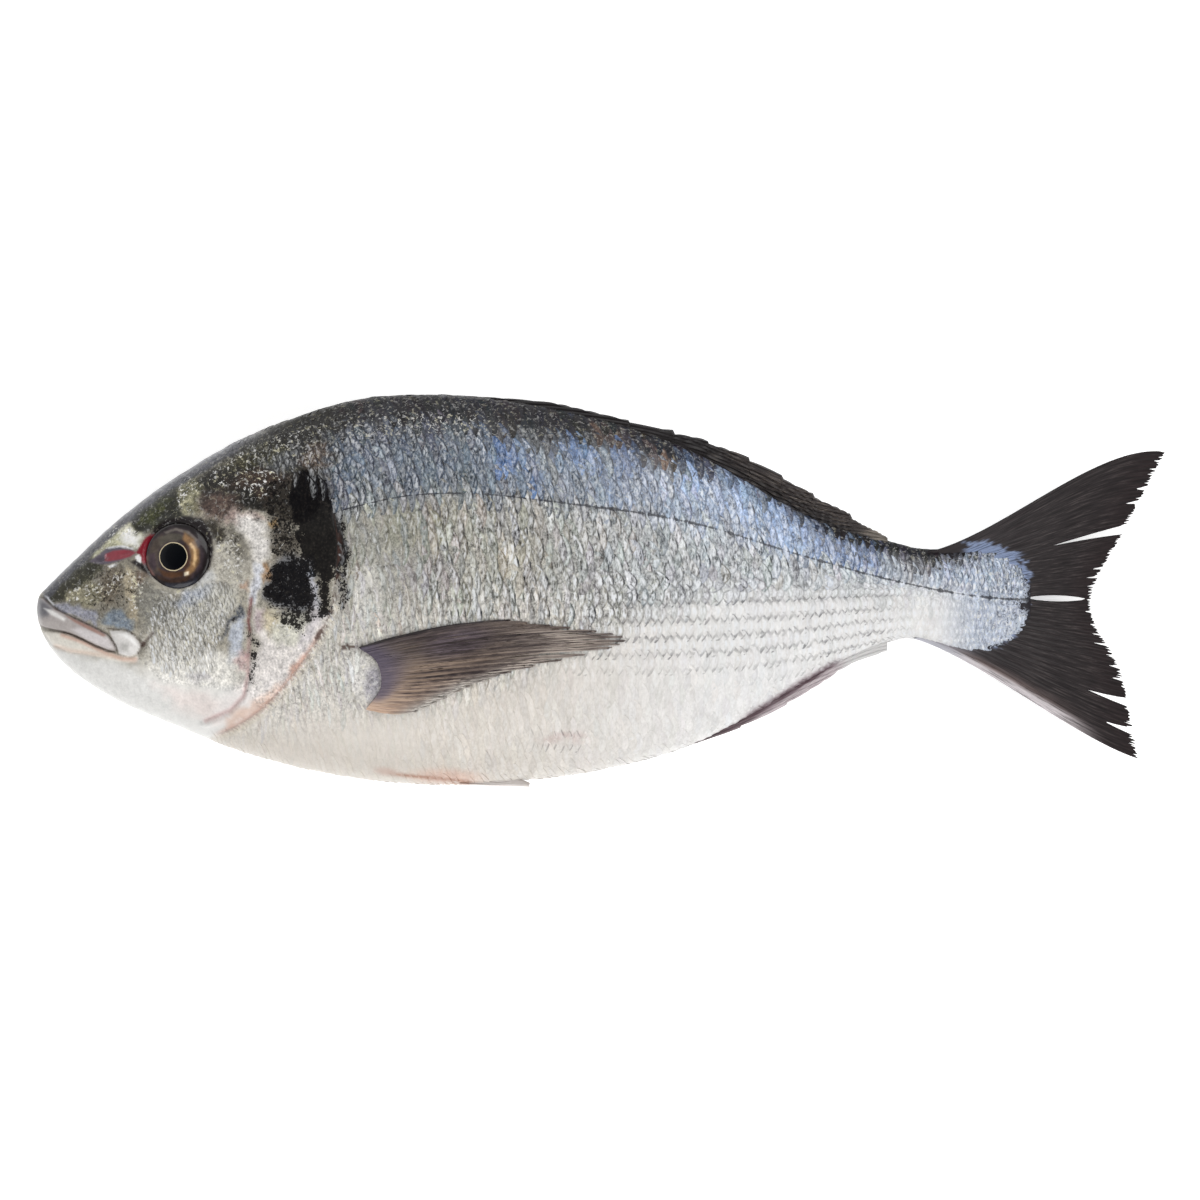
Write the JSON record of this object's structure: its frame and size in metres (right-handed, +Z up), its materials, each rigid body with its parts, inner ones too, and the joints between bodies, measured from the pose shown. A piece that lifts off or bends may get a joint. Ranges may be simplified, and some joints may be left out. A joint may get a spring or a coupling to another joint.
{
  "type": "whole raw fish",
  "caption": "Whole raw gilt-head bream lying on its side, with a deep silver body, a steep head, a forked tail fin and folded fins.",
  "frame": {"origin": "on the surface it rests on, midway along its length and its height from belly to back", "axes": "+X from the snout to the tail, +Y from the belly to the back, +Z up out of its left flank"},
  "size_m": [0.3202, 0.1102, 0.0423],
  "materials": {
    "skin": "wet silver skin and scales",
    "eye": "clear wet cornea over a dark iris",
    "fin": "moist dark fin membrane"
  },
  "bodies": {
    "root": {"fish": "skin", "eye_left": "eye", "eye_right": "eye"}
  },
  "joints": []
}
